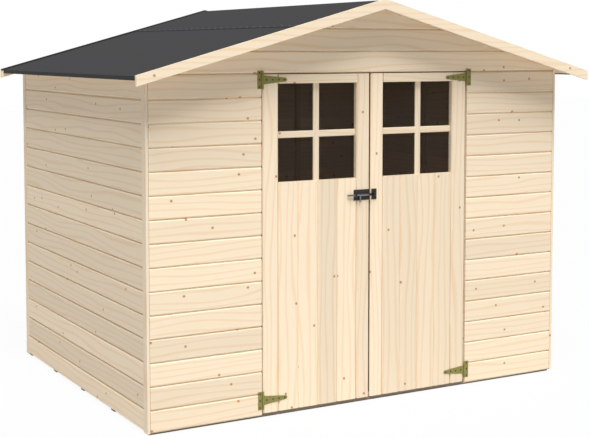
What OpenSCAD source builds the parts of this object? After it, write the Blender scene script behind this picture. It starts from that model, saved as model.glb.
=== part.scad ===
// Wooden garden shed with a felted apex roof and a pair of glazed, ledged doors
// that swing outwards on T-hinges and close with a sliding bolt.
// X runs along the front, Y from front to rear, Z up from the ground.

/* [Body] */
// Width over the side cladding
shed_w = 2444; // [2200:4:2800]
// Depth over the front and rear cladding
shed_d = 1834; // [1500:2:2400]
// Number of cladding boards from the ground to the gables
board_rows = 15; // [14:1:17]
// Cover height of one cladding board
board_cover = 112; // [104:1:120]
// Thickness of the cladding boards
clad_t = 12; // [10:1:18]
// Side of the square framing timber
frame_s = 28; // [24:1:38]
// Height of the cladding's lower edge above the ground
ground_gap = 10; // [5:1:20]

/* [Corner trims] */
// Width of a corner trim, seen from the side
trim_w = 43; // [30:1:60]
// Distance a trim stands proud of the side cladding
trim_proud = 2; // [1:0.5:5]

/* [Floor] */
// Height of the bearers under the floor
bearer_h = 28; // [24:1:45]
// Width of one bearer
bearer_w = 44; // [34:1:60]
// Number of bearers
bearer_count = 5; // [4:1:7]
// Thickness of the floor boards
floor_t = 12; // [10:1:22]

/* [Roof] */
// Pitch of both slopes in degrees
pitch = 15.4; // [12:0.1:22]
// Height from the gables' lower edge to the roof at the wall's outer face
eave_rise = 5; // [2:1:14]
// Overhang of the roof past the side walls
eave_over = 88; // [50:1:140]
// Overhang in front of the doors, to the bargeboard's face
front_over = 149; // [100:1:250]
// Overhang behind the rear wall, to the bargeboard's face
rear_over = 105; // [80:1:200]
// Thickness of the roof boards
deck_t = 12; // [10:1:18]
// Thickness of one layer of felt
felt_t = 2.5; // [1.5:0.5:4]
// Height of the felt's fold over the eave
felt_fold = 20; // [14:1:28]
// Width of the ridge sheet on each slope, measured level
ridge_lap = 487; // [300:1:700]
// Upright height of a bargeboard
barge_h = 49; // [40:1:80]
// Thickness of a bargeboard
barge_t = 18; // [14:1:24]
// Length of a bargeboard past the eave
barge_past = 13; // [5:1:25]
// Height of the bargeboards above the ridge felt
barge_proud = 5; // [2:1:12]
// Height of the ridge beam
ridge_beam_h = 70; // [50:1:95]
// Height of a purlin
purlin_h = 44; // [34:1:60]
// Room between the roof boards and what carries them
roof_seat = 0.2; // [0.1:0.1:0.5]

/* [Doors] */
// Width of the doorway
door_w = 1232; // [1000:2:1400]
// Gap between a leaf and the frame around it
door_clear = 5; // [5:0.5:8]
// Gap between the two leaves
meet_gap = 7; // [6:0.5:10]
// Offset of the meeting line from the middle of the doorway
meet_x = 8.5; // [-20:0.5:20]
// Height of the doors' lower edge above that of the cladding
door_lift = 12; // [6:1:24]
// Width of the board that carries the hinges
hinge_board_w = 88; // [70:1:110]
// Width of the board at the meeting edge
meeting_board_w = 76; // [60:1:100]
// Thickness of the ledges behind the boards
ledge_t = 20; // [16:1:28]
// Height of a ledge
ledge_h = 70; // [50:1:95]
// Distance of the ledges from the edges of a leaf
ledge_inset = 26; // [22:1:40]

/* [Windows] */
// Height of the sill above the ground
sill_z = 1156; // [1110:1:1250]
// Height of the rail over a window
head_rail_h = 45; // [40:1:70]
// Thickness of the glass
glass_t = 3; // [2:0.5:5]
// Lap of the glass behind the window's lining
glass_lap = 12; // [8:1:14]
// Width of the uprights that line a window
lining_w = 40; // [30:1:46]

/* [Hinges] */
// Height of a hinge plate and of its barrel
plate_h = 88; // [70:1:110]
// Reach of a hinge plate from the pin
plate_w = 27; // [22:1:36]
// Thickness of the hinge metal
hinge_t = 2; // [1.5:0.5:3]
// Length of a strap from the pin to its tip
strap_len = 136; // [110:1:180]
// Height of a strap at the barrel
strap_h = 45; // [30:1:55]
// Radius of a strap's round tip
strap_tip_r = 9; // [7:0.5:12]
// Outer radius of the barrel
barrel_r = 4.5; // [4:0.5:6]
// Radius of the pin
pin_r = 2.4; // [2:0.1:3]
// Radial clearance between pin and knuckle
pin_clear = 0.05; // [0.03:0.01:0.1]
// Gap between knuckles along the pin
knuckle_gap = 0.4; // [0.3:0.1:0.8]
// Height from the door's top edge down to the upper hinges' middle
hinge_down = 26; // [24:1:60]
// Height from the door's lower edge up to the lower hinges' middle
hinge_up = 65; // [50:1:160]

/* [Bolt] */
// Height from the window sill down to the rod
bolt_down = 86; // [80:1:150]
// Length of the bolt's plate
bolt_plate_l = 95; // [90:1:110]
// Height of the bolt's plate and of the keeper's
bolt_plate_h = 54; // [44:1:64]
// Thickness of both plates
bolt_plate_t = 2.5; // [2:0.5:4]
// Radius of the rod
rod_r = 5; // [4:0.5:6]
// Radial clearance of the rod in its guides
rod_clear = 0.08; // [0.05:0.01:0.1]
// Radial clearance of the rod in the keeper
keeper_clear = 1.5; // [1:0.1:2]
// Wall of the guides around the rod
guide_wall = 3; // [2:0.5:4]
// Length of one guide along the rod
guide_l = 10; // [8:1:12]
// Travel of the rod from open to shut
bolt_travel = 44; // [40:1:46]
// Length of the finger knob below the rod
knob_len = 32; // [26:1:38]

/* [Hidden] */
$fn = 48;
wood = [0.86, 0.72, 0.52];
wood_inner = [0.80, 0.64, 0.44];
felt_grey = [0.28, 0.28, 0.28];
zinc = [0.62, 0.56, 0.36];
black_metal = [0.08, 0.08, 0.08];
steel = [0.62, 0.62, 0.62];
clear_glass = [0.65, 0.75, 0.78, 0.4];

// Front and rear faces of the cladding, with the roof centred on the origin
y_front = -(front_over + shed_d + rear_over) / 2 + front_over;
y_rear = y_front + shed_d;
half_w = shed_w / 2;
inner_x = half_w - clad_t;
frame_x = inner_x - frame_s;
frame_y0 = y_front + clad_t;
frame_y1 = y_rear - clad_t;
gable_z = ground_gap + board_rows * board_cover;
floor_top = bearer_h + floor_t;
floor_y0 = frame_y0 + door_clear;

// Roof heights: the underside at distance x from the ridge line, and the layers above it
slope = tan(pitch);
upright = 1 / cos(pitch);
eave_z = gable_z + eave_rise;
function under_z(x) = eave_z + slope * (half_w - abs(x));
deck_v = roof_seat + deck_t * upright;
felt_v = felt_t * upright;
eave_x = half_w + eave_over;
barge_x = eave_x + felt_t + barge_past;
barge_top = under_z(0) + deck_v + 2 * felt_v + barge_proud;
roof_y0 = y_front - front_over + barge_t;
roof_y1 = y_rear + rear_over - barge_t;
tie_top = gable_z + frame_s;
tie_x = half_w - (tie_top - eave_z) / slope;
rafter_v = frame_s * upright;
rafter_x = half_w - (tie_top + rafter_v - eave_z) / slope;
purlin_x = half_w / 2;

// Doors: side is -1 for the left leaf and +1 for the right leaf
door_z0 = ground_gap + door_lift;
door_z1 = gable_z - door_clear;
window_top = door_z1 - head_rail_h;
hinge_x = (door_w - door_clear) / 2;
hinge_y = y_front - barrel_r;
hinge_zs = [door_z0 + hinge_up, door_z1 - hinge_down];
leaf_outer = door_w / 2 - door_clear;
function leaf_inner(side) = meet_x + side * meet_gap / 2;
function light_outer() = leaf_outer - hinge_board_w;
function light_inner(side) = leaf_inner(side) + side * meeting_board_w;
lining_gap = 0.5;
ledge_zs = [door_z0 + 60, sill_z - ledge_h];
glass_y = frame_y0 + ledge_t;

// Bolt: the rod's axis and the plates' ends on the two leaves
bolt_z = sill_z - bolt_down;
rod_y = y_front - bolt_plate_t - rod_r - guide_wall;
bolt_x1 = leaf_inner(-1) - 2;
bolt_x0 = bolt_x1 - bolt_plate_l;
keeper_x0 = leaf_inner(1) + 3;
keeper_l = 30;
rod_tip = bolt_x1 - 1;
rod_len = bolt_travel + bolt_plate_l - 4;
knob_x = bolt_x1 - guide_l - 7 - bolt_travel;
knob_r = 4;

// A box between two corners, given in either order along X
module block(x, y, z) {
    translate([min(x), min(y), min(z)])
        cube([max(x) - min(x), max(y) - min(y), max(z) - min(z)]);
}

// An upright outline in X and Z, carried from y0 to y1
module outline_along_y(points, y0, y1) {
    translate([0, y1, 0])
        rotate([90, 0, 0])
            linear_extrude(y1 - y0)
                polygon(points);
}

// An outline in Y and Z, carried along X from x0 to x1
module outline_along_x(x0, x1) {
    translate([x0, 0, 0])
        rotate([90, 0, 90])
            linear_extrude(x1 - x0)
                children();
}

// A layer of the roof on one side, from x0 out to x1, between two heights over the underside
module roof_layer(side, x0, x1, low, high, y0, y1) {
    outline_along_y([
        [side * x0, under_z(x0) + low],
        [side * x1, under_z(x1) + low],
        [side * x1, under_z(x1) + high],
        [side * x0, under_z(x0) + high]
    ], y0, y1);
}

module floor_bearers() {
    run = frame_y1 - floor_y0 - bearer_w;
    color(wood_inner)
        for (i = [0 : bearer_count - 1]) {
            y = floor_y0 + run * i / (bearer_count - 1);
            block([-inner_x, inner_x], [y, y + bearer_w], [0, bearer_h]);
        }
}

module floor_boards() {
    color(wood_inner)
        block([-inner_x, inner_x], [floor_y0, frame_y1], [bearer_h, floor_top]);
}

// Side cladding between the trims, its top edge cut to the roof
module side_wall(side) {
    color(wood)
        outline_along_y([
            [side * half_w, ground_gap],
            [side * inner_x, ground_gap],
            [side * inner_x, under_z(inner_x)],
            [side * half_w, under_z(half_w)]
        ], y_front + trim_w, y_rear - trim_w);
}

module left_wall() { side_wall(-1); }

module right_wall() { side_wall(1); }

module rear_wall() {
    color(wood)
        block([-inner_x, inner_x], [frame_y1, y_rear], [ground_gap, gable_z]);
}

module front_panel(side) {
    color(wood)
        block([side * door_w / 2, side * inner_x], [y_front, frame_y0], [ground_gap, gable_z]);
}

module front_left_panel() { front_panel(-1); }

module front_right_panel() { front_panel(1); }

// Gable cladding, from the panels' top edge up to the roof
module gable(y0, y1) {
    color(wood)
        outline_along_y([
            [-inner_x, gable_z],
            [inner_x, gable_z],
            [inner_x, under_z(inner_x)],
            [0, under_z(0)],
            [-inner_x, under_z(inner_x)]
        ], y0, y1);
}

module front_gable() { gable(y_front, frame_y0); }

module rear_gable() { gable(frame_y1, y_rear); }

module corner_trims() {
    outer = half_w + trim_proud;
    color(wood)
        for (side = [-1, 1], y = [y_front, y_rear - trim_w])
            outline_along_y([
                [side * outer, ground_gap],
                [side * inner_x, ground_gap],
                [side * inner_x, under_z(inner_x)],
                [side * outer, under_z(outer)]
            ], y, y + trim_w);
}

// Sole rails all round, and the head rails of the side walls
module wall_rails() {
    joint = 1;
    z_low = [floor_top, floor_top + frame_s];
    color(wood_inner) {
        for (side = [-1, 1]) {
            block([side * frame_x, side * inner_x], [frame_y0, frame_y1], z_low);
            block([side * frame_x, side * inner_x], [frame_y0 + frame_s, frame_y1 - frame_s],
                [eave_z - frame_s, eave_z]);
            block([side * (door_w / 2 + frame_s), side * (frame_x - joint)],
                [frame_y0, frame_y0 + frame_s], z_low);
        }
        block([-frame_x + joint, frame_x - joint], [frame_y1 - frame_s, frame_y1], z_low);
    }
}

// Corner and side studs, rear studs, and the two studs beside the doorway
module wall_studs() {
    z_low = floor_top + frame_s;
    span = frame_y1 - frame_y0 - frame_s;
    color(wood_inner) {
        for (side = [-1, 1], i = [0 : 3]) {
            y = frame_y0 + span * i / 3;
            top = i == 0 || i == 3 ? gable_z : eave_z - frame_s;
            block([side * frame_x, side * inner_x], [y, y + frame_s], [z_low, top]);
        }
        for (i = [-1 : 1])
            block([i * half_w / 2 - frame_s / 2, i * half_w / 2 + frame_s / 2],
                [frame_y1 - frame_s, frame_y1], [z_low, gable_z]);
        for (side = [-1, 1])
            block([side * door_w / 2, side * (door_w / 2 + frame_s)],
                [frame_y0, frame_y0 + frame_s], [floor_top, gable_z]);
    }
}

// Tie across the foot of each gable, with its ends cut to the roof
module gable_ties() {
    color(wood_inner)
        for (y = [frame_y0, frame_y1 - frame_s])
            outline_along_y([
                [-inner_x, gable_z],
                [inner_x, gable_z],
                [inner_x, under_z(inner_x)],
                [tie_x, tie_top],
                [-tie_x, tie_top],
                [-inner_x, under_z(inner_x)]
            ], y, y + frame_s);
}

module gable_rafters() {
    half_beam = frame_s / 2;
    color(wood_inner)
        for (side = [-1, 1], y = [frame_y0, frame_y1 - frame_s])
            outline_along_y([
                [side * half_beam, under_z(half_beam)],
                [side * tie_x, tie_top],
                [side * rafter_x, tie_top],
                [side * half_beam, under_z(half_beam) - rafter_v]
            ], y, y + frame_s);
}

module ridge_beam() {
    top = under_z(frame_s / 2);
    color(wood_inner)
        block([-frame_s / 2, frame_s / 2], [frame_y0, frame_y1], [top - ridge_beam_h, top]);
}

module purlins() {
    color(wood_inner)
        for (side = [-1, 1])
            roof_layer(side, purlin_x - frame_s / 2, purlin_x + frame_s / 2, -purlin_h, 0,
                frame_y0 + frame_s, frame_y1 - frame_s);
}

module roof_deck(side) {
    color(wood_inner)
        roof_layer(side, 0, eave_x, roof_seat, deck_v, roof_y0, roof_y1);
}

module left_roof_deck() { roof_deck(-1); }

module right_roof_deck() { roof_deck(1); }

// Felt from the ridge down to the eave, with its edge folded down over the boards' ends
module felt(side) {
    edge = eave_x + felt_t;
    top = deck_v + felt_v;
    color(felt_grey)
        outline_along_y([
            [0, under_z(0) + deck_v],
            [side * eave_x, under_z(eave_x) + deck_v],
            [side * eave_x, under_z(eave_x) + top - felt_fold],
            [side * edge, under_z(eave_x) + top - felt_fold],
            [side * edge, under_z(edge) + top],
            [0, under_z(0) + top]
        ], roof_y0, roof_y1);
}

module left_felt() { felt(-1); }

module right_felt() { felt(1); }

// One sheet laid over the ridge, lapping both slopes
module ridge_felt() {
    low = deck_v + felt_v;
    high = low + felt_v;
    color(felt_grey)
        outline_along_y([
            [-ridge_lap, under_z(ridge_lap) + low],
            [0, under_z(0) + low],
            [ridge_lap, under_z(ridge_lap) + low],
            [ridge_lap, under_z(ridge_lap) + high],
            [0, under_z(0) + high],
            [-ridge_lap, under_z(ridge_lap) + high]
        ], roof_y0, roof_y1);
}

// A bargeboard, mitred upright at the ridge and cut plumb at the eave
module bargeboard(side, y0) {
    drop = slope * barge_x;
    color(wood)
        outline_along_y([
            [0, barge_top],
            [side * barge_x, barge_top - drop],
            [side * barge_x, barge_top - drop - barge_h],
            [0, barge_top - barge_h]
        ], y0, y0 + barge_t);
}

module front_left_bargeboard() { bargeboard(-1, roof_y0 - barge_t); }

module front_right_bargeboard() { bargeboard(1, roof_y0 - barge_t); }

module rear_left_bargeboard() { bargeboard(-1, roof_y1); }

module rear_right_bargeboard() { bargeboard(1, roof_y1); }

module hinge_board(side) {
    color(wood)
        block([side * leaf_outer, side * light_outer()], [y_front, frame_y0], [door_z0, door_z1]);
}

module left_hinge_board() { hinge_board(-1); }

module right_hinge_board() { hinge_board(1); }

module meeting_board(side) {
    color(wood)
        block([leaf_inner(side), light_inner(side)], [y_front, frame_y0], [door_z0, door_z1]);
}

module left_meeting_board() { meeting_board(-1); }

module right_meeting_board() { meeting_board(1); }

module lower_panel(side) {
    color(wood)
        block([side * light_outer(), light_inner(side)], [y_front, frame_y0], [door_z0, sill_z]);
}

module left_lower_panel() { lower_panel(-1); }

module right_lower_panel() { lower_panel(1); }

module head_rail(side) {
    color(wood)
        block([side * light_outer(), light_inner(side)], [y_front, frame_y0], [window_top, door_z1]);
}

module left_head_rail() { head_rail(-1); }

module right_head_rail() { head_rail(1); }

// Ledges across the back of a leaf, two below the window and one over it,
// and the uprights that line the window between them
module ledges(side) {
    x = [side * (leaf_outer - ledge_inset), leaf_inner(side) + side * ledge_inset];
    y = [frame_y0, frame_y0 + ledge_t];
    color(wood_inner) {
        for (z = ledge_zs)
            block(x, y, [z, z + ledge_h]);
        block(x, y, [window_top, door_z1]);
        for (lining = [[side * light_outer(), side], [light_inner(side), -side]])
            block([lining[0], lining[0] + lining[1] * lining_w], y,
                [sill_z + lining_gap, window_top - lining_gap]);
    }
}

module left_ledges() { ledges(-1); }

module right_ledges() { ledges(1); }

// Pane laid against the back of the ledges and linings
module glass(side) {
    color(clear_glass)
        block([side * (light_outer() + glass_lap), light_inner(side) - side * glass_lap],
            [glass_y, glass_y + glass_t], [sill_z - glass_lap, window_top + glass_lap]);
}

module left_glass() { glass(-1); }

module right_glass() { glass(1); }

// Plate on the frame with its two outer knuckles and the fixed pin
module hinge_plate(side, z) {
    notch = strap_h + 2 * knuckle_gap;
    knuckle = (plate_h - notch) / 2;
    translate([side * hinge_x, hinge_y, z]) {
        cylinder(r = pin_r, h = plate_h, center = true);
        difference() {
            union() {
                block([0, side * plate_w], [barrel_r - hinge_t, barrel_r], [-plate_h / 2, plate_h / 2]);
                cylinder(r = barrel_r, h = plate_h, center = true);
            }
            block([-side * 2 * barrel_r, side * (barrel_r + 0.5)], [-2 * barrel_r, 2 * barrel_r],
                [-notch / 2, notch / 2]);
        }
    }
}

// Tapered strap with a round tip, rolled into the middle knuckle around the pin
module hinge_strap(side, z) {
    tip_x = strap_len - strap_tip_r;
    translate([side * hinge_x, hinge_y, z])
        difference() {
            union() {
                cylinder(r = barrel_r, h = strap_h, center = true);
                translate([0, barrel_r, 0])
                    rotate([90, 0, 0])
                        linear_extrude(hinge_t) {
                            polygon([
                                [0, strap_h / 2],
                                [-side * tip_x, strap_tip_r],
                                [-side * tip_x, -strap_tip_r],
                                [0, -strap_h / 2]
                            ]);
                            translate([-side * tip_x, 0])
                                circle(r = strap_tip_r);
                        }
            }
            cylinder(r = pin_r + pin_clear, h = 2 * strap_h, center = true);
        }
}

module hinge_plates(side) {
    color(zinc)
        for (z = hinge_zs)
            hinge_plate(side, z);
}

module hinge_straps(side) {
    color(zinc)
        for (z = hinge_zs)
            hinge_strap(side, z);
}

module left_hinge_plates() { hinge_plates(-1); }

module right_hinge_plates() { hinge_plates(1); }

module left_hinge_straps() { hinge_straps(-1); }

module right_hinge_straps() { hinge_straps(1); }

// Loop that stands on a plate and goes round the rod with a given clearance
module rod_loop(x0, length, clearance) {
    outer = rod_r + guide_wall;
    outline_along_x(x0, x0 + length)
        difference() {
            union() {
                translate([rod_y, bolt_z])
                    circle(r = outer);
                translate([rod_y, bolt_z - outer])
                    square([y_front - rod_y, 2 * outer]);
            }
            translate([rod_y, bolt_z])
                circle(r = rod_r + clearance);
        }
}

// Plate of a bolt or keeper, flat on the boards
module bolt_backing(x0, length) {
    block([x0, x0 + length], [y_front - bolt_plate_t, y_front],
        [bolt_z - bolt_plate_h / 2, bolt_z + bolt_plate_h / 2]);
}

module bolt_plate() {
    color(black_metal) {
        bolt_backing(bolt_x0, bolt_plate_l);
        rod_loop(bolt_x0 + 2, guide_l, rod_clear);
        rod_loop(bolt_x1 - guide_l, guide_l, rod_clear);
    }
}

module bolt_keeper() {
    color(black_metal) {
        bolt_backing(keeper_x0, keeper_l);
        rod_loop(keeper_x0 + 6, guide_l + 4, keeper_clear);
    }
}

// Rod with a finger knob that hangs from it
module bolt_rod() {
    color(steel) {
        translate([rod_tip - rod_len, rod_y, bolt_z])
            rotate([0, 90, 0])
                cylinder(r = rod_r, h = rod_len);
        translate([knob_x, rod_y, bolt_z - knob_len])
            cylinder(r = knob_r, h = knob_len);
        translate([knob_x, rod_y, bolt_z - knob_len])
            sphere(r = knob_r + 1);
    }
}

floor_bearers();
floor_boards();
left_wall();
right_wall();
rear_wall();
front_left_panel();
front_right_panel();
front_gable();
rear_gable();
corner_trims();
wall_rails();
wall_studs();
gable_ties();
gable_rafters();
ridge_beam();
purlins();
left_roof_deck();
right_roof_deck();
left_felt();
right_felt();
ridge_felt();
front_left_bargeboard();
front_right_bargeboard();
rear_left_bargeboard();
rear_right_bargeboard();
left_hinge_plates();
right_hinge_plates();
left_hinge_board();
left_meeting_board();
left_lower_panel();
left_head_rail();
left_ledges();
left_glass();
left_hinge_straps();
bolt_plate();
right_hinge_board();
right_meeting_board();
right_lower_panel();
right_head_rail();
right_ledges();
right_glass();
right_hinge_straps();
bolt_keeper();
bolt_rod();
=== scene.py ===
"""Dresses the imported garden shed: matched boards, glazing bars, fixings and finishes."""
from math import cos, radians, sin

import bpy
import numpy as np
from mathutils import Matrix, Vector


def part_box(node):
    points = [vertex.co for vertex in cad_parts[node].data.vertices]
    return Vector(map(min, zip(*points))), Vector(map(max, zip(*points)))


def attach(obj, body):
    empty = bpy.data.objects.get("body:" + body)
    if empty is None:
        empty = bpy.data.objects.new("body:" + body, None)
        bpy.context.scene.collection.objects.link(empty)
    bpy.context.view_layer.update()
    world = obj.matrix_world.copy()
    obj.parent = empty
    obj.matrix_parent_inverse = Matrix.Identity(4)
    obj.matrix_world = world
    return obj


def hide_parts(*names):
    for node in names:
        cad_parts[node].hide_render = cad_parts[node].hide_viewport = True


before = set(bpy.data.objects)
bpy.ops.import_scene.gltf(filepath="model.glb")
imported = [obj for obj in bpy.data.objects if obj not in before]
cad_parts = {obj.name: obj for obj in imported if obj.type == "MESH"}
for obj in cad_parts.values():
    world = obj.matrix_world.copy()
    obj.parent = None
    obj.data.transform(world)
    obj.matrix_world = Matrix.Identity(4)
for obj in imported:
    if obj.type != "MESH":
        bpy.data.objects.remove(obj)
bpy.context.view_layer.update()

bl_info = {
    "name": "Garden shed dressing",
    "version": (1, 0, 0),
    "blender": (4, 5, 0),
    "location": "View3D > Sidebar > Shed",
    "description": "Boards, glazing bars, fixings and finishes of a wooden garden shed",
    "category": "Object",
}

X, Y, Z = np.eye(3)
SIDES = (("left", -1), ("right", 1))

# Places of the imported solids, in metres as all lengths here
GROUND_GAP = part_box("rear_wall")[0][2]
WALL_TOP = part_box("left_wall")[1][2]
Y_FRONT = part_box("front_gable")[0][1]
GABLE_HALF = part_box("front_gable")[1][0]
RIDGE_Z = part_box("front_gable")[1][2]
SLOPE = (RIDGE_Z - WALL_TOP) / GABLE_HALF

# Boards: where joints and ends lie, and the open line at the foot of a V
JOINT_DROP = 0.004
JOINT_ROWS = np.arange(-1, 22)
END_REVEAL = 0.002
EDGE_REVEAL = 0.0008
SIDE_TOP_DROP = 0.0033
RIDGE_TRIM = 0.001
SLOT_HALF, SLOT_SIDE, SLOT_DEPTH = 0.0012, 0.0001, 0.0014
BACK_LINE = 0.002
DOOR_PANEL_BOARDS = 4
# Board numbers only seed the grain; each slab starts a new run of them
SLAB_STEP, LEAF_STEP = 17.0, 5
BAR_BOARD = 40.0

# Glazing bars: thickness, bevel, flat share of the face, and how far the level bars sit back
BAR_THICK, BAR_BEVEL, BAR_FLAT, LEVEL_BAR_BACK = 0.009, 0.0025, 0.8, 0.0006

# Heads of screws and nails: sides, sunk depth, and shares of height and radius at the dome's rim
HEAD_SIDES, HEAD_SUNK, RIM_HEIGHT, CROWN_RADIUS = 12, 0.0004, 0.4, 0.7
HEAD_TURN = np.array([0.31, 0.2, 0.93])
NAIL_RADIUS, NAIL_RISE = 0.005, 0.0012
NAIL_IN, NAIL_START, NAIL_PITCH = 0.02, 0.05, 0.075
PIN_RADIUS, STRAP_HALF, HINGE_LEAF, SCREW_RISE = 0.0045, 0.0225, 0.002, 0.0018
PLATE_SCREW_OUT = 0.016
PLATE_SCREWS = (-0.034, 0.0, 0.034)
STRAP_SCREWS = (0.022, 0.056, 0.09, 0.122)
BOLT_LEAF, BOLT_SCREW, BOLT_SCREW_RISE, BOLT_SCREW_EDGE = 0.0025, 0.0035, 0.0016, 0.008
BOLT_FIXINGS = (("bolt_plate", "left_door", 0.020), ("bolt_keeper", "right_door", 0.006))

# Felt turned over the rear verge: thickness, and how far it hangs down inside
LAP_SHEET, LAP_DOWN = 0.001, 0.009

# Stage: the floor's half width and glow to the camera, the sky's light, and the lamp
FLOOR_HALF, FLOOR_GLOW, SKY_LIGHT = 30.0, 0.93, 0.25
SUN_ENERGY, SUN_ANGLE, SUN_WAY = 3.9, radians(32), (0.17, 0.43, -0.88)

# Camera, in pixels of the photograph, with its place and its turn
PHOTO_W, PHOTO_H = 589, 437
FOCAL_PX = 1251.1
EYE_LEVEL_PX = 136.3
CAMERA_AT = (-3.4517, -6.2225, 1.8042)
CAMERA_AZ, CAMERA_EL = radians(-29.52), radians(3.96)
SENSOR_MM = 36.0
VIEW_END = 200.0


class ShedSizes(bpy.types.PropertyGroup):
    """Sizes of the boards and small pieces."""
    cover: bpy.props.FloatProperty(
        name="Board cover", default=0.112, unit="LENGTH",
        description="Height that one wall board covers")
    vee: bpy.props.FloatProperty(
        name="V width", default=0.0072, unit="LENGTH",
        description="Half width of the V between two boards")
    vee_depth: bpy.props.FloatProperty(
        name="V depth", default=0.0076, unit="LENGTH",
        description="Depth of the V between two boards")
    bar: bpy.props.FloatProperty(
        name="Glazing bar", default=0.033, unit="LENGTH",
        description="Width of a glazing bar")
    bar_drop: bpy.props.FloatProperty(
        name="Level bar drop", default=0.010, unit="LENGTH",
        description="How far the level bars lie below the middle of the windows")
    bar_shift: bpy.props.FloatProperty(
        name="Right bar shift", default=0.012, unit="LENGTH",
        description="How far the right leaf's upright bar lies to the right of the middle")
    screw: bpy.props.FloatProperty(
        name="Screw head", default=0.0042, unit="LENGTH",
        description="Radius of a hinge screw's head")


class ShedColours(bpy.types.PropertyGroup):
    """Colours of the finishes, as linear values."""
    pale: bpy.props.FloatVectorProperty(
        name="Pale wood", size=3, subtype="COLOR", default=(0.90, 0.765, 0.58),
        description="Early wood")
    grain: bpy.props.FloatVectorProperty(
        name="Grain", size=3, subtype="COLOR", default=(0.80, 0.54, 0.30),
        description="Late wood")
    knot: bpy.props.FloatVectorProperty(
        name="Knot", size=3, subtype="COLOR", default=(0.46, 0.20, 0.075),
        description="Knots")
    felt: bpy.props.FloatVectorProperty(
        name="Felt", size=3, subtype="COLOR", default=(0.028, 0.028, 0.03),
        description="Grit of the felt")
    zinc: bpy.props.FloatVectorProperty(
        name="Zinc", size=3, subtype="COLOR", default=(0.27, 0.25, 0.07),
        description="Passivated hinges")


def sizes():
    return bpy.context.scene.shed_sizes


def colours():
    return bpy.context.scene.shed_colours


def corners(node):
    """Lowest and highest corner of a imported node, as arrays."""
    return [np.array(corner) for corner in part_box(node)]


def add_node(tree, kind, values=(), **settings):
    """A node with settings as attributes and values as (input, value) pairs."""
    node = tree.nodes.new(kind)
    for key, value in settings.items():
        setattr(node, key, value)
    for key, value in values:
        node.inputs[key].default_value = value
    return node


def scaled(tree, vector, factors):
    """The vector times one factor per axis."""
    node = add_node(tree, "ShaderNodeVectorMath", [(1, factors)], operation="MULTIPLY")
    tree.links.new(vector, node.inputs[0])
    return node.outputs[0]


def mapped(tree, value, limits, **settings):
    """The value carried from one range to another."""
    node = add_node(tree, "ShaderNodeMapRange", limits, **settings)
    tree.links.new(value, node.inputs["Value"])
    return node.outputs[0]


def mixed(tree, factor, first, second):
    """The colour between two colours."""
    node = add_node(tree, "ShaderNodeMix", data_type="RGBA")
    for source, key in ((factor, "Factor"), (first, 6), (second, 7)):
        tree.links.new(source, node.inputs[key])
    return node.outputs[2]


def grain_group():
    """Wood grain from a vector (along, across, depth) in metres and a board number.

    Late wood lies in wavering bands across the board, wave(0.16 along, across, 0.6 depth), moved
    per board, with fine fibres over it; knots are the cores of scattered cells; each board has
    its own tone."""
    if "Shed grain" in bpy.data.node_groups:
        return bpy.data.node_groups["Shed grain"]
    tree = bpy.data.node_groups.new("Shed grain", "ShaderNodeTree")
    face = tree.interface
    face.new_socket("Vector", in_out="INPUT", socket_type="NodeSocketVector")
    face.new_socket("Board", in_out="INPUT", socket_type="NodeSocketFloat")
    for name in ("Pale", "Grain", "Knot"):
        face.new_socket(name, in_out="INPUT", socket_type="NodeSocketColor")
    face.new_socket("Color", in_out="OUTPUT", socket_type="NodeSocketColor")
    face.new_socket("Height", in_out="OUTPUT", socket_type="NodeSocketFloat")
    link = tree.links.new
    given = add_node(tree, "NodeGroupInput").outputs
    out = add_node(tree, "NodeGroupOutput").inputs

    dice = add_node(tree, "ShaderNodeTexWhiteNoise", noise_dimensions="1D")
    link(given["Board"], dice.inputs["W"])
    moved = add_node(tree, "ShaderNodeVectorMath", operation="ADD")
    link(given["Vector"], moved.inputs[0])
    link(scaled(tree, dice.outputs["Color"], (9.0, 0.35, 4.0)), moved.inputs[1])
    place = moved.outputs[0]

    wave = add_node(tree, "ShaderNodeTexWave",
                    [("Scale", 9.0), ("Distortion", 11.0), ("Detail", 1.5), ("Detail Scale", 0.8)],
                    wave_type="BANDS", bands_direction="Y")
    link(scaled(tree, place, (0.16, 1.0, 0.6)), wave.inputs["Vector"])
    late = mapped(tree, wave.outputs["Fac"],
                  [("From Min", 0.7), ("From Max", 1.0), ("To Max", 0.36)])
    fibre = add_node(tree, "ShaderNodeTexNoise", [("Scale", 1.0), ("Detail", 2.0)])
    link(scaled(tree, place, (5.0, 260.0, 120.0)), fibre.inputs["Vector"])
    streak = add_node(tree, "ShaderNodeMath", [(1, 0.2)], operation="MULTIPLY_ADD")
    link(fibre.outputs["Fac"], streak.inputs[0])
    link(late, streak.inputs[2])

    toned = add_node(tree, "ShaderNodeVectorMath", operation="SCALE")
    link(mixed(tree, streak.outputs[0], given["Pale"], given["Grain"]), toned.inputs[0])
    link(mapped(tree, dice.outputs["Value"], [("To Min", 0.9), ("To Max", 1.05)]),
         toned.inputs["Scale"])

    cells = add_node(tree, "ShaderNodeTexVoronoi", [("Scale", 1.0)], voronoi_dimensions="2D")
    link(scaled(tree, place, (3.6, 4.0, 0.0)), cells.inputs["Vector"])
    core = mapped(tree, cells.outputs["Distance"],
                  [("From Min", 0.014), ("From Max", 0.034), ("To Min", 0.92), ("To Max", 0.0)],
                  interpolation_type="SMOOTHSTEP")
    link(mixed(tree, core, toned.outputs[0], given["Knot"]), out["Color"])
    link(streak.outputs[0], out["Height"])
    return tree


def new_material(name, colour, rough, metallic=0.0):
    """A plain material and its shader."""
    material = bpy.data.materials.new(name)
    material.use_nodes = True
    shader = material.node_tree.nodes["Principled BSDF"]
    shader.inputs["Base Color"].default_value = (*colour, 1.0)
    shader.inputs["Roughness"].default_value = rough
    shader.inputs["Metallic"].default_value = metallic
    return material, shader


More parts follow.
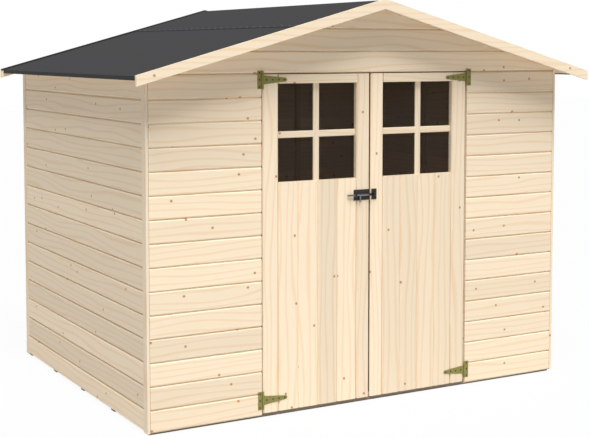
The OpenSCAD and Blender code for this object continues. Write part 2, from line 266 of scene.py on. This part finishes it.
def bump(tree, shader, height, strength):
    """Relief of up to a millimetre."""
    node = add_node(tree, "ShaderNodeBump", [("Strength", strength), ("Distance", 0.001)])
    tree.links.new(height, node.inputs["Height"])
    tree.links.new(node.outputs[0], shader.inputs["Normal"])


def wood(name, along, tint=1.0):
    """Planed spruce whose grain runs along the axis named by along: x, y or z."""
    if name in bpy.data.materials:
        return bpy.data.materials[name]
    paints = {"Pale": colours().pale, "Grain": colours().grain, "Knot": colours().knot}
    material, shader = new_material(name, paints["Pale"], 0.62)
    tree = material.node_tree
    link = tree.links.new
    split = add_node(tree, "ShaderNodeSeparateXYZ")
    link(add_node(tree, "ShaderNodeTexCoord").outputs["Object"], split.inputs[0])
    turned = add_node(tree, "ShaderNodeCombineXYZ")
    for target, source in enumerate({"x": "XZY", "y": "YZX", "z": "ZXY"}[along]):
        link(split.outputs[source], turned.inputs[target])
    board = add_node(tree, "ShaderNodeAttribute", attribute_name="board")
    group = add_node(tree, "ShaderNodeGroup", node_tree=grain_group())
    for key, paint in paints.items():
        group.inputs[key].default_value = (*[c * tint for c in paint], 1.0)
    link(turned.outputs[0], group.inputs["Vector"])
    link(board.outputs["Fac"], group.inputs["Board"])
    link(group.outputs["Color"], shader.inputs["Base Color"])
    bump(tree, shader, group.outputs["Height"], 0.12)
    return material


def spruce(run):
    """The boards' wood, with its grain along the axis run."""
    axis = "xyz"[int(np.argmax(run))]
    return wood(f"spruce along {axis}", axis)


def speckled(name, colour, rough, scale, metallic=0.0, strength=0.3, spread=0.5):
    """A finish with fine mottling: noise scales the colour and lifts the surface."""
    material, shader = new_material(name, colour, rough, metallic)
    tree = material.node_tree
    noise = add_node(tree, "ShaderNodeTexNoise", [("Scale", scale), ("Detail", 4.0)])
    tree.links.new(add_node(tree, "ShaderNodeTexCoord").outputs["Object"], noise.inputs["Vector"])
    mix = add_node(tree, "ShaderNodeMix", data_type="RGBA")
    for key, share in ((6, 1 - spread), (7, 1 + spread)):
        mix.inputs[key].default_value = (*[c * share for c in colour], 1.0)
    tree.links.new(noise.outputs["Fac"], mix.inputs["Factor"])
    tree.links.new(mix.outputs[2], shader.inputs["Base Color"])
    bump(tree, shader, noise.outputs["Fac"], strength)
    return material


def finish_nodes(names, material):
    """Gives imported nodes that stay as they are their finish."""
    for name in names:
        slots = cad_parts[name].data.materials
        slots.clear()
        slots.append(material)


def mesh_piece(name, points, faces, body, material, numbers=None, nodes=()):
    """An object at the origin from an array of points and a list of faces."""
    mesh = bpy.data.meshes.new(name)
    mesh.from_pydata(points.tolist(), [], faces)
    if numbers is not None:
        boards = mesh.attributes.new("board", "FLOAT", "FACE")
        boards.data.foreach_set("value", numbers.astype("f4"))
    mesh.materials.append(material)
    mesh.update()
    piece = bpy.data.objects.new(name, mesh)
    bpy.context.scene.collection.objects.link(piece)
    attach(piece, body)
    if nodes:
        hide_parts(*nodes)


def inside(values, low, high):
    """The values between low and high, as an array."""
    values = np.asarray(values, float)
    return values[(values > low) & (values < high)]


def fixed(value):
    """A straight edge at one value for every s."""
    return lambda s: np.full(len(s), value)


def boarded(node, body, run, stack, inward, joints, low, high, starts, ends, number, breaks=()):
    """A slab of matched boards as one closed surface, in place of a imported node.

    Across the boards (s from low to high) the face is flat but dips to a V at each joint:
    depth(s) = vee_depth * max(0, 1 - |s - joint| / vee), with a narrow open line at its foot;
    the two outer edges have half a V each. Each row runs from starts(s) to ends(s), with a row
    at every break. The back is flat at the boards' thickness, with a line behind each joint."""
    vee = sizes().vee
    lo, hi = corners(node)
    face = np.abs(inward) * (lo if inward.sum() > 0 else hi)
    thick = np.abs(inward) @ (hi - lo)
    low, high = low + EDGE_REVEAL, high - EDGE_REVEAL
    joints = inside(joints, low + vee, high - vee)
    half_vee = np.array([SLOT_HALF - SLOT_SIDE, SLOT_HALF + SLOT_SIDE, vee])
    s = np.unique(np.concatenate([[low, low + vee, high - vee, high], inside(breaks, low, high),
                                  np.add.outer(joints, half_vee).ravel(),
                                  np.subtract.outer(joints, half_vee).ravel()]))
    gap = np.abs(s[:, None] - joints).min(axis=1, initial=1.0)
    in_slot = gap < SLOT_HALF
    nearest = np.minimum(gap, np.minimum(s - low, high - s))
    depth = sizes().vee_depth * np.clip(1 - nearest / vee, 0, 1) + SLOT_DEPTH * in_slot
    back = thick - BACK_LINE * in_slot
    points = np.concatenate([
        face + edge(s)[:, None] * run + s[:, None] * stack + deep[:, None] * inward
        for deep in (depth, back) for edge in (starts, ends)])

    rows = len(s)
    a, b, c, d = np.arange(4)[:, None] * rows + np.arange(rows - 1)
    strips = [np.stack([p, q, q + 1, p + 1], 1) for p, q in ((a, b), (d, c), (c, a), (b, d))]
    caps = np.array([[0, 2, 3, 1], [0, 1, 3, 2]]) * rows + [[0], [rows - 1]]
    faces = np.concatenate([*strips, caps])
    if np.dot(np.cross(run, stack), inward) > 0:
        faces = faces[:, ::-1]
    which = np.searchsorted(joints, (s[:-1] + s[1:]) / 2) + SLAB_STEP * number
    numbers = np.concatenate([np.tile(which, len(strips)), which[[0, -1]]])
    mesh_piece(node + "_boards", points, faces.tolist(), body, spruce(run),
               numbers, (node,))


def glazing_bar(side, way, run, stack, ends, at, number):
    """A bar in front of the glass: one section carried straight along run from end to end.

    The section's face is y = pane - thickness, set back by the bevel at its two edges, and its
    back lies on the pane."""
    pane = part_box(f"{side}_glass")[0][1]
    s = at + sizes().bar / 2 * np.array([-1, -BAR_FLAT, BAR_FLAT, 1])
    y = pane - BAR_THICK + BAR_BEVEL * np.array([1, 0, 0, 1])
    if way == "level":
        y = y + LEVEL_BAR_BACK
    front = s[:, None] * stack + y[:, None] * Y
    rear = s[:, None] * stack + pane * Y
    points = np.concatenate([line + end * run for line in (front, rear) for end in ends])
    k = np.arange(3)
    faces = np.concatenate([np.stack([k, k + 4, k + 5, k + 1], 1),
                            np.stack([k + 12, k + 8, k + 9, k + 13], 1),
                            np.stack([k, k + 1, k + 9, k + 8], 1),
                            np.stack([k + 4, k + 12, k + 13, k + 5], 1),
                            [[0, 8, 12, 4], [3, 7, 15, 11]]])
    if np.dot(np.cross(run, stack), Y) > 0:
        faces = faces[:, ::-1]
    mesh_piece(f"{side}_{way}_glazing_bar", points, faces.tolist(), side + "_door", spruce(run),
               np.full(len(faces), BAR_BOARD + number))


def fixing_heads(name, places, normal, radius, rise, body, material):
    """Domed heads of screws or nails, one at each place.

    Three circles about the normal, sunk, at the rim and at the crown, walled and closed."""
    turn = np.linspace(0, 2 * np.pi, HEAD_SIDES, endpoint=False)
    side = np.cross(normal, HEAD_TURN)
    side = side / np.linalg.norm(side)
    circle = np.cos(turn)[:, None] * side + np.sin(turn)[:, None] * np.cross(normal, side)
    levels = ((radius, -HEAD_SUNK), (radius, rise * RIM_HEIGHT), (radius * CROWN_RADIUS, rise))
    head = np.concatenate([circle * r + normal * h for r, h in levels])
    points = (np.asarray(places)[:, None, :] + head).reshape(-1, 3)
    k = np.arange(HEAD_SIDES)
    n = (k + 1) % HEAD_SIDES
    wall = np.stack([k, n, n + HEAD_SIDES, k + HEAD_SIDES], 1)
    walls = np.concatenate([wall, wall + HEAD_SIDES])
    i = np.arange(1, HEAD_SIDES - 1)
    crown = np.stack([0 * i, i, i + 1], 1) + 2 * HEAD_SIDES
    under = np.stack([0 * i, i + 1, i], 1)
    first = len(head) * np.arange(len(places))[:, None, None]
    quads = (walls + first).reshape(-1, 4)
    fans = (np.concatenate([crown, under]) + first).reshape(-1, 3)
    mesh_piece(name, points, quads.tolist() + fans.tolist(), body, material)


def verge_lap(felt):
    """The felt turned over the top of the rear bargeboards.

    An L section (y, height above the board) swept along z(x) = top - slope * |x|."""
    lo, hi = corners("rear_left_bargeboard")
    section = np.array([(lo[1] - LAP_SHEET, -LAP_DOWN), (lo[1] - LAP_SHEET, LAP_SHEET),
                        (hi[1], LAP_SHEET), (hi[1], 0.0), (lo[1], 0.0), (lo[1], -LAP_DOWN)])
    x = np.array([lo[0], 0.0, -lo[0]])
    z = hi[2] - SLOPE * np.abs(x)
    count = len(section)
    points = np.stack([np.repeat(x, count), np.tile(section[:, 0], len(x)),
                       np.add.outer(z, section[:, 1]).ravel()], 1)
    k = np.arange(count)
    n = (k + 1) % count
    span = np.stack([k + count, n + count, n, k], 1)
    near_end = np.array([[1, 4, 5, 0], [2, 3, 4, 1]])
    far_end = near_end[:, ::-1] + 2 * count
    faces = np.concatenate([span, span + count, near_end, far_end])
    mesh_piece("rear_verge_felt", points, faces.tolist(), "root", felt)


class SHED_OT_walls(bpy.types.Operator):
    """Horizontal matched boards on every wall and gable"""
    bl_idname = "shed.walls"
    bl_label = "Wall boards"

    def execute(self, context):
        joints = GROUND_GAP + sizes().cover * JOINT_ROWS - JOINT_DROP
        walls = (("left_wall", Y, X, SIDE_TOP_DROP), ("right_wall", Y, -X, SIDE_TOP_DROP),
                 ("rear_wall", X, -Y, 0.0), ("front_left_panel", X, Y, 0.0),
                 ("front_right_panel", X, Y, 0.0))
        for number, (node, run, inward, top_drop) in enumerate(walls, 1):
            lo, hi = corners(node)
            boarded(node, "root", run, Z, inward, joints, lo[2], hi[2] - top_drop,
                    fixed(run @ lo + END_REVEAL), fixed(run @ hi - END_REVEAL), number)

        def right_edge(z):
            return np.minimum(GABLE_HALF, (RIDGE_Z - z) / SLOPE)

        def left_edge(z):
            return -right_edge(z)

        gables = (("front_gable", Y), ("rear_gable", -Y))
        for number, (node, inward) in enumerate(gables, len(walls) + 1):
            lo, hi = corners(node)
            boarded(node, "root", X, Z, inward, joints, lo[2], hi[2] - RIDGE_TRIM,
                    left_edge, right_edge, number, (WALL_TOP,))
        return {"FINISHED"}


class SHED_OT_doors(bpy.types.Operator):
    """Upright matched boards of the door leaves, their glazing bars and glass"""
    bl_idname = "shed.doors"
    bl_label = "Door boards and bars"

    def execute(self, context):
        slabs = (("hinge_board", 1, 21), ("meeting_board", 1, 23),
                 ("lower_panel", DOOR_PANEL_BOARDS, 21))
        for leaf, (side, _) in enumerate(SIDES):
            for part, boards, number in slabs:
                lo, hi = corners(f"{side}_{part}")
                joints = np.linspace(lo[0], hi[0], boards + 1)
                boarded(f"{side}_{part}", side + "_door", Z, X, Y, joints, lo[0], hi[0],
                        fixed(lo[2]), fixed(hi[2]), number + LEAF_STEP * leaf)
            (left, _, _), (_, _, sill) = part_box(f"{side}_lower_panel")
            (_, _, head), (right, _, _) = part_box(f"{side}_head_rail")
            across = (left + right) / 2 + leaf * sizes().bar_shift
            up = (sill + head) / 2 - sizes().bar_drop
            glazing_bar(side, "upright", Z, X, (sill, head), across, leaf)
            glazing_bar(side, "level", X, Z, (left, right), up, leaf)
        finish_nodes(("left_head_rail", "right_head_rail"), wood("head rail", "x", 0.97))
        finish_nodes(("left_ledges", "right_ledges"), wood("ledges", "x", 0.85))
        glass, shader = new_material("window glass", (0.05, 0.04, 0.032), 0.06)
        shader.inputs["Alpha"].default_value = 0.1
        finish_nodes(("left_glass", "right_glass"), glass)
        return {"FINISHED"}


class SHED_OT_frame(bpy.types.Operator):
    """Finishes of the trims, bargeboards, framing and floor"""
    bl_idname = "shed.frame"
    bl_label = "Framing and trims"

    def execute(self, context):
        finish_nodes(("corner_trims",), wood("corner trims", "z", 0.98))
        finish_nodes([f"{end}_{side}_bargeboard" for end in ("front", "rear") for side, _ in SIDES],
                     wood("bargeboards", "x", 1.02))
        finish_nodes(("wall_studs",), wood("studs", "z", 0.8))
        finish_nodes(("wall_rails", "ridge_beam", "purlins", "left_roof_deck", "right_roof_deck",
                      "floor_boards"), wood("sawn along y", "y", 0.8))
        finish_nodes(("gable_ties", "gable_rafters"), wood("sawn along x", "x", 0.8))
        finish_nodes(("floor_bearers",), wood("bearers", "x", 0.35))
        return {"FINISHED"}


class SHED_OT_roof(bpy.types.Operator):
    """Felt, its lap over the rear verge and the rows of nails beside the ridge sheet's seams"""
    bl_idname = "shed.roof"
    bl_label = "Roof felt"

    def execute(self, context):
        felt = speckled("roof felt", colours().felt, 0.9, 900.0, strength=0.5, spread=0.55)
        finish_nodes(("left_felt", "right_felt", "ridge_felt"), felt)
        verge_lap(felt)
        nails = speckled("felt nails", (0.25, 0.25, 0.26), 0.5, 300.0, metallic=0.8)
        lo, hi = corners("ridge_felt")
        y = np.arange(lo[1] + NAIL_START, hi[1], NAIL_PITCH)
        out = hi[0] - NAIL_IN
        for side, sign in SIDES:
            normal = np.array([sign * SLOPE, 0, 1.0]) / np.hypot(SLOPE, 1)
            row = np.array([sign * out, 0, hi[2] - SLOPE * out])
            fixing_heads(f"{side}_felt_nails", row + y[:, None] * Y, normal,
                         NAIL_RADIUS, NAIL_RISE, "root", nails)
        return {"FINISHED"}


class SHED_OT_hardware(bpy.types.Operator):
    """Finishes of hinges and bolt, and their screws"""
    bl_idname = "shed.hardware"
    bl_label = "Hinges and bolt"

    def execute(self, context):
        zinc = speckled("passivated zinc", colours().zinc, 0.42, 120.0,
                        metallic=0.35, strength=0.1, spread=0.25)
        black = speckled("black lacquer", (0.018, 0.018, 0.018), 0.38, 200.0,
                         strength=0.1, spread=0.3)
        steel = speckled("bolt steel", (0.32, 0.32, 0.33), 0.28, 150.0,
                         metallic=1.0, strength=0.05, spread=0.15)
        dark = speckled("screw heads", (0.05, 0.045, 0.035), 0.45, 300.0, metallic=0.6)
        finish_nodes([f"{side}_hinge_{part}" for side, _ in SIDES for part in ("plates", "straps")],
                     zinc)
        finish_nodes(("bolt_plate", "bolt_keeper"), black)
        finish_nodes(("bolt_rod",), steel)
        face = Y_FRONT - HINGE_LEAF
        for side, sign in SIDES:
            plates, straps = corners(f"{side}_hinge_plates"), corners(f"{side}_hinge_straps")
            pin = sign * (min(abs(plates[0][0]), abs(plates[1][0])) + PIN_RADIUS)
            middles = (straps[0][2] + STRAP_HALF, straps[1][2] - STRAP_HALF)
            plate = [(pin + sign * PLATE_SCREW_OUT, face, z + up)
                     for z in middles for up in PLATE_SCREWS]
            strap = [(pin - sign * along, face, z) for z in middles for along in STRAP_SCREWS]
            fixing_heads(f"{side}_plate_screws", plate, -Y, sizes().screw, SCREW_RISE,
                         "root", dark)
            fixing_heads(f"{side}_strap_screws", strap, -Y, sizes().screw, SCREW_RISE,
                         side + "_door", dark)
        for node, body, inset in BOLT_FIXINGS:
            lo, hi = corners(node)
            spots = [(x, Y_FRONT - BOLT_LEAF, z) for x in (lo[0] + inset, hi[0] - inset)
                     for z in (lo[2] + BOLT_SCREW_EDGE, hi[2] - BOLT_SCREW_EDGE)]
            fixing_heads(node + "_screws", spots, -Y, BOLT_SCREW, BOLT_SCREW_RISE,
                         body, dark)
        return {"FINISHED"}


def stage_floor(scene):
    """A pale floor that keeps the shadow and is nearly white to the camera."""
    square = FLOOR_HALF * np.array([[-1, -1, 0], [1, -1, 0], [1, 1, 0], [-1, 1, 0]])
    mesh = bpy.data.meshes.new("floor")
    mesh.from_pydata(square.tolist(), [], [[0, 1, 2, 3]])
    paint, shader = new_material("floor paint", (0.6, 0.6, 0.6), 0.9)
    tree = paint.node_tree
    link = tree.links.new
    glow = add_node(tree, "ShaderNodeEmission", [("Strength", 1.0)])
    blend = add_node(tree, "ShaderNodeMixShader")
    share = add_node(tree, "ShaderNodeMath", [(1, FLOOR_GLOW)], operation="MULTIPLY")
    link(add_node(tree, "ShaderNodeLightPath").outputs["Is Camera Ray"], share.inputs[0])
    for target, source in enumerate((share, shader, glow)):
        link(source.outputs[0], blend.inputs[target])
    link(blend.outputs[0], tree.nodes["Material Output"].inputs[0])
    mesh.materials.append(paint)
    floor = bpy.data.objects.new("floor", mesh)
    scene.collection.objects.link(floor)


def stage_light(scene):
    """A dim even sky that is white to the camera, and one soft lamp from the front left."""
    scene.world = bpy.data.worlds.new("studio")
    scene.world.use_nodes = True
    sky = scene.world.node_tree
    back = sky.nodes["Background"]
    back.inputs["Color"].default_value = (1.0, 1.0, 1.0, 1.0)
    seen = add_node(sky, "ShaderNodeLightPath").outputs["Is Camera Ray"]
    level = mapped(sky, seen, [("To Min", SKY_LIGHT), ("To Max", 1.0)])
    sky.links.new(level, back.inputs["Strength"])
    sun = bpy.data.lights.new("key", "SUN")
    sun.energy = SUN_ENERGY
    sun.angle = SUN_ANGLE
    lamp = bpy.data.objects.new("key", sun)
    lamp.rotation_euler = Vector(SUN_WAY).to_track_quat("-Z", "Y").to_euler()
    scene.collection.objects.link(lamp)


def stage_camera(scene):
    """The camera at the photograph's place, with its lens shifted to the eye level."""
    lens = bpy.data.cameras.new("camera")
    lens.sensor_width = SENSOR_MM
    lens.lens = SENSOR_MM * FOCAL_PX / PHOTO_W
    lens.shift_y = (EYE_LEVEL_PX - PHOTO_H / 2) / PHOTO_W
    lens.clip_end = VIEW_END
    eye = bpy.data.objects.new("camera", lens)
    eye.location = CAMERA_AT
    ahead = Vector((-sin(CAMERA_AZ) * cos(CAMERA_EL), cos(CAMERA_AZ) * cos(CAMERA_EL),
                    -sin(CAMERA_EL)))
    eye.rotation_euler = ahead.to_track_quat("-Z", "Y").to_euler()
    scene.collection.objects.link(eye)
    scene.camera = eye


class SHED_OT_stage(bpy.types.Operator):
    """Pale floor, soft light and a camera at the viewing angle"""
    bl_idname = "shed.stage"
    bl_label = "Stage"

    def execute(self, context):
        context.scene.view_settings.view_transform = "Standard"
        stage_floor(context.scene)
        stage_light(context.scene)
        stage_camera(context.scene)
        return {"FINISHED"}


OPERATORS = (SHED_OT_stage, SHED_OT_walls, SHED_OT_doors, SHED_OT_frame, SHED_OT_roof,
             SHED_OT_hardware)


class SHED_PT_dressing(bpy.types.Panel):
    """Lists the sizes, the colours and the steps that dress the shed"""
    bl_idname = "SHED_PT_dressing"
    bl_label = "Garden shed"
    bl_space_type = "VIEW_3D"
    bl_region_type = "UI"
    bl_category = "Shed"

    def draw(self, context):
        for group in (context.scene.shed_sizes, context.scene.shed_colours):
            for key in type(group).__annotations__:
                self.layout.prop(group, key)
        for operator in OPERATORS:
            self.layout.operator(operator.bl_idname)


CLASSES = (ShedSizes, ShedColours, *OPERATORS, SHED_PT_dressing)


def register():
    for cls in CLASSES:
        bpy.utils.register_class(cls)
    bpy.types.Scene.shed_sizes = bpy.props.PointerProperty(type=ShedSizes)
    bpy.types.Scene.shed_colours = bpy.props.PointerProperty(type=ShedColours)


def unregister():
    del bpy.types.Scene.shed_colours
    del bpy.types.Scene.shed_sizes
    for cls in reversed(CLASSES):
        bpy.utils.unregister_class(cls)


def main():
    register()
    for step in (bpy.ops.shed.stage, bpy.ops.shed.walls, bpy.ops.shed.doors, bpy.ops.shed.frame,
                 bpy.ops.shed.roof, bpy.ops.shed.hardware):
        step()


if __name__ == "__main__":
    main()
